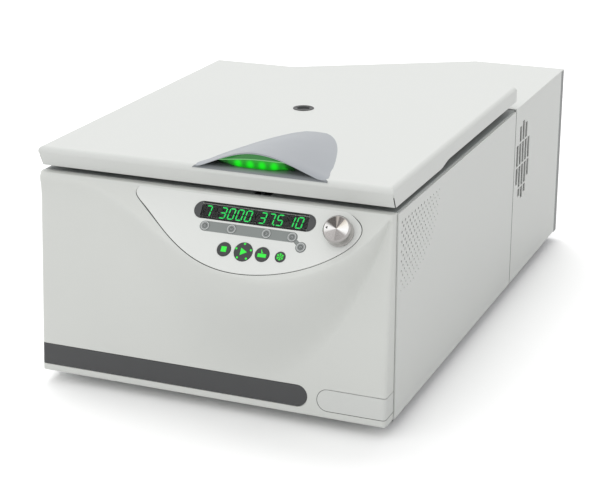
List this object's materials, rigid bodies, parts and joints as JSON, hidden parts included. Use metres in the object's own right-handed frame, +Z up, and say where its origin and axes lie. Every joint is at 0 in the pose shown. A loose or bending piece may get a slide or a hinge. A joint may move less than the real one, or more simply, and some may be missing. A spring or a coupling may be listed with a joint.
{
  "type": "butterfat centrifuge",
  "caption": "Refrigerated bench centrifuge for butterfat tests, with a rear-hinged lid, a sloping control pod with display and knob, and a swing-out rotor.",
  "frame": {"origin": "middle of the footprint, on the surface it stands on", "axes": "+Z up, -Y towards the front with the controls, +Y from front to rear, +X to the right seen from the front"},
  "size_m": [0.404, 0.7348, 0.2864],
  "materials": {
    "painted_steel": "smooth white paint",
    "cover_plastic": "moulded, painted satin",
    "chassis_steel": "matt grey paint",
    "band_plastic": "satin dark grey",
    "trim_plastic": "satin",
    "keypad_film": "textured film",
    "window_plastic": "gloss smoked",
    "board": "circuit board",
    "knob_metal": "turned",
    "button_plastic": "satin",
    "key_plastic": "satin",
    "handle_plastic": "satin grey",
    "lens_plastic": "translucent green",
    "port_plastic": "satin",
    "foam": "closed-cell foam",
    "rubber": "matt black",
    "bare_steel": "brushed",
    "rotor_alloy": "anodised",
    "bucket_alloy": "anodised",
    "motor_paint": "black paint",
    "copper": "copper",
    "fan_plastic": "black",
    "rear_paint": "grey paint",
    "socket_plastic": "black"
  },
  "bodies": {
    "case": {"base_plate": "chassis_steel", "feet": "rubber", "left_side_panel": "painted_steel", "right_side_panel": "painted_steel", "front_cover": "cover_plastic", "front_band": "band_plastic", "corner_trim": "trim_plastic", "keypad_overlay": "keypad_film", "display_window": "window_plastic", "control_board": "board", "hinge_brackets": "bare_steel", "lock_housing": "socket_plastic", "deck_plate": "chassis_steel", "bulkhead": "chassis_steel", "chamber_bowl": "bare_steel", "chamber_gasket": "rubber", "evaporator_coil": "copper", "chamber_foam": "foam", "guard_ring": "chassis_steel", "motor_plate": "chassis_steel", "motor_dampers": "rubber", "drive_motor": "motor_paint", "shaft_boot": "rubber", "rear_hood": "painted_steel", "rear_panel": "rear_paint", "fan_frame": "fan_plastic", "condenser": "rotor_alloy", "compressor": "motor_paint", "coolant_lines": "copper", "mains_inlet": "socket_plastic", "drive_controller": "rotor_alloy", "casing_screws": "bare_steel"},
    "lid": {"lid_outer": "painted_steel", "lid_inner": "bare_steel", "lid_foam": "foam", "lid_port": "port_plastic", "lid_handle": "handle_plastic", "signal_lens": "lens_plastic", "led_board": "board", "lock_striker": "bare_steel"},
    "knob": {"speed_knob": "knob_metal"},
    "rotor": {"drive_shaft": "bare_steel", "rotor_yoke": "rotor_alloy", "rotor_nut": "rotor_alloy"},
    "fan": {"fan_rotor": "fan_plastic"},
    "rocker": {"power_rocker": "socket_plastic"},
    "bolt": {"lock_bolt": "bare_steel"},
    "stop_button": {"stop_button": "button_plastic"},
    "start_button": {"start_button": "button_plastic"},
    "lid_button": {"lid_button": "button_plastic"},
    "cool_button": {"cool_button": "button_plastic"},
    "program_key": {"program_key": "key_plastic"},
    "speed_key": {"speed_key": "key_plastic"},
    "time_key": {"time_key": "key_plastic"},
    "temperature_key": {"temperature_key": "key_plastic"},
    "mode_key": {"mode_key": "key_plastic"},
    "bucket_1": {"swing_bucket_1": "bucket_alloy"},
    "bucket_2": {"swing_bucket_2": "bucket_alloy"},
    "bucket_3": {"swing_bucket_3": "bucket_alloy"},
    "bucket_4": {"swing_bucket_4": "bucket_alloy"}
  },
  "joints": [
    {"name": "lid_hinge", "type": "hinge", "parent": "case", "child": "lid", "pos_m": [0, 0.12188, 0.254], "axis": [-1, 0, 0], "range_deg": [0, 75]},
    {"name": "knob_turn", "type": "hinge", "parent": "case", "child": "knob", "pos_m": [0.15, -0.33364, 0.22065], "axis": [0, -0.788, 0.6157], "continuous": true},
    {"name": "stop_button_press", "type": "slide", "parent": "case", "child": "stop_button", "axis": [0, 0.788, -0.6157], "range_m": [0, 0.0008], "stiffness_N_per_m": 300},
    {"name": "start_button_press", "type": "slide", "parent": "case", "child": "start_button", "axis": [0, 0.788, -0.6157], "range_m": [0, 0.0008], "stiffness_N_per_m": 300},
    {"name": "lid_button_press", "type": "slide", "parent": "case", "child": "lid_button", "axis": [0, 0.788, -0.6157], "range_m": [0, 0.0008], "stiffness_N_per_m": 300},
    {"name": "cool_button_press", "type": "slide", "parent": "case", "child": "cool_button", "axis": [0, 0.788, -0.6157], "range_m": [0, 0.0008], "stiffness_N_per_m": 300},
    {"name": "program_key_press", "type": "slide", "parent": "case", "child": "program_key", "axis": [0, 0.788, -0.6157], "range_m": [0, 0.0005], "stiffness_N_per_m": 300},
    {"name": "speed_key_press", "type": "slide", "parent": "case", "child": "speed_key", "axis": [0, 0.788, -0.6157], "range_m": [0, 0.0005], "stiffness_N_per_m": 300},
    {"name": "time_key_press", "type": "slide", "parent": "case", "child": "time_key", "axis": [0, 0.788, -0.6157], "range_m": [0, 0.0005], "stiffness_N_per_m": 300},
    {"name": "temperature_key_press", "type": "slide", "parent": "case", "child": "temperature_key", "axis": [0, 0.788, -0.6157], "range_m": [0, 0.0005], "stiffness_N_per_m": 300},
    {"name": "mode_key_press", "type": "slide", "parent": "case", "child": "mode_key", "axis": [0, 0.788, -0.6157], "range_m": [0, 0.0005], "stiffness_N_per_m": 300},
    {"name": "rocker_tilt", "type": "hinge", "parent": "case", "child": "rocker", "pos_m": [0.146, 0.36178, 0.098], "axis": [1, 0, 0], "range_deg": [0, 16]},
    {"name": "bolt_slide", "type": "slide", "parent": "case", "child": "bolt", "axis": [1, 0, 0], "range_m": [0, 0.016]},
    {"name": "rotor_spin", "type": "hinge", "parent": "case", "child": "rotor", "pos_m": [0, -0.06012, 0.1859], "axis": [0, 0, 1], "continuous": true},
    {"name": "bucket_1_swing", "type": "hinge", "parent": "rotor", "child": "bucket_1", "pos_m": [0.074, -0.06012, 0.1859], "axis": [0, -1, 0], "range_deg": [0, 90]},
    {"name": "bucket_2_swing", "type": "hinge", "parent": "rotor", "child": "bucket_2", "pos_m": [0, 0.01388, 0.1859], "axis": [1, 0, 0], "range_deg": [0, 90]},
    {"name": "bucket_3_swing", "type": "hinge", "parent": "rotor", "child": "bucket_3", "pos_m": [-0.074, -0.06012, 0.1859], "axis": [0, 1, 0], "range_deg": [0, 90]},
    {"name": "bucket_4_swing", "type": "hinge", "parent": "rotor", "child": "bucket_4", "pos_m": [0, -0.13412, 0.1859], "axis": [-1, 0, 0], "range_deg": [0, 90]},
    {"name": "fan_spin", "type": "hinge", "parent": "case", "child": "fan", "pos_m": [-0.061, 0.28128, 0.118], "axis": [-0.5027, 0.8644, 0], "continuous": true}
  ]
}
